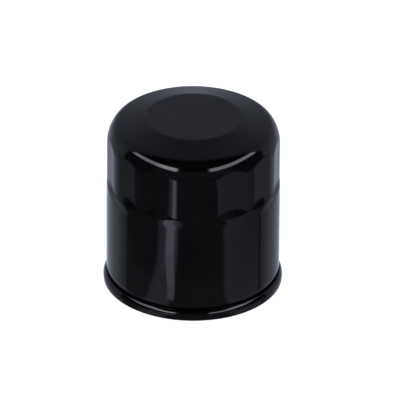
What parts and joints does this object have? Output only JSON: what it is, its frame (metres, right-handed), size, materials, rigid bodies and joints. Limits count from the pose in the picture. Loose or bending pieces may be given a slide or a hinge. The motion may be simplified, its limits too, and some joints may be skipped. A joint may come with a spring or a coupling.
{
  "type": "oil filter",
  "caption": "Spin-on oil filter with a black fluted can, rolled seam, threaded base plate, gasket, pleated element and two valves.",
  "frame": {"origin": "on the axis of the thread, in the plane of the gasket's sealing face, which is the lowest face of the part", "axes": "+Z along the axis from the open, threaded end towards the closed dome; a wrench flat faces -Y and the media clip is at +X"},
  "size_m": [0.0684, 0.0684, 0.0708],
  "materials": {
    "black_paint": "gloss",
    "sealing_compound": "matte",
    "phosphated_steel": "satin",
    "gasket_rubber": "matte",
    "valve_rubber": "satin",
    "tinned_steel": "satin",
    "plastisol": "satin",
    "filter_paper": "matte",
    "spring_steel": "satin"
  },
  "bodies": {
    "casing": {"canister": "black_paint", "seam_lid": "black_paint", "seam_compound": "sealing_compound", "threaded_plate": "phosphated_steel", "sealing_gasket": "gasket_rubber", "drain_valve_collar": "valve_rubber", "lower_end_cap": "tinned_steel", "lower_bond_ring": "plastisol", "centre_tube": "tinned_steel", "pleated_media": "filter_paper", "media_clip": "tinned_steel", "upper_bond_ring": "plastisol", "upper_end_cap": "tinned_steel", "relief_valve_cage": "tinned_steel", "relief_valve_spring": "spring_steel", "support_spring": "spring_steel"},
    "drain_skirt": {"drain_valve_skirt": "valve_rubber"},
    "relief_valve": {"relief_valve_seal": "gasket_rubber", "relief_valve_disc": "tinned_steel", "relief_valve_stem": "tinned_steel"}
  },
  "joints": [
    {"name": "drain_valve_lift", "type": "slide", "parent": "casing", "child": "drain_skirt", "axis": [0, 0, 1], "range_m": [0, 0.001], "stiffness_N_per_m": 300, "springref_m": -0.001},
    {"name": "relief_valve_open", "type": "slide", "parent": "casing", "child": "relief_valve", "axis": [0, 0, -1], "range_m": [0, 0.003], "stiffness_N_per_m": 1290, "springref_m": -0.0052, "deforming": ["relief_valve_spring"]}
  ]
}
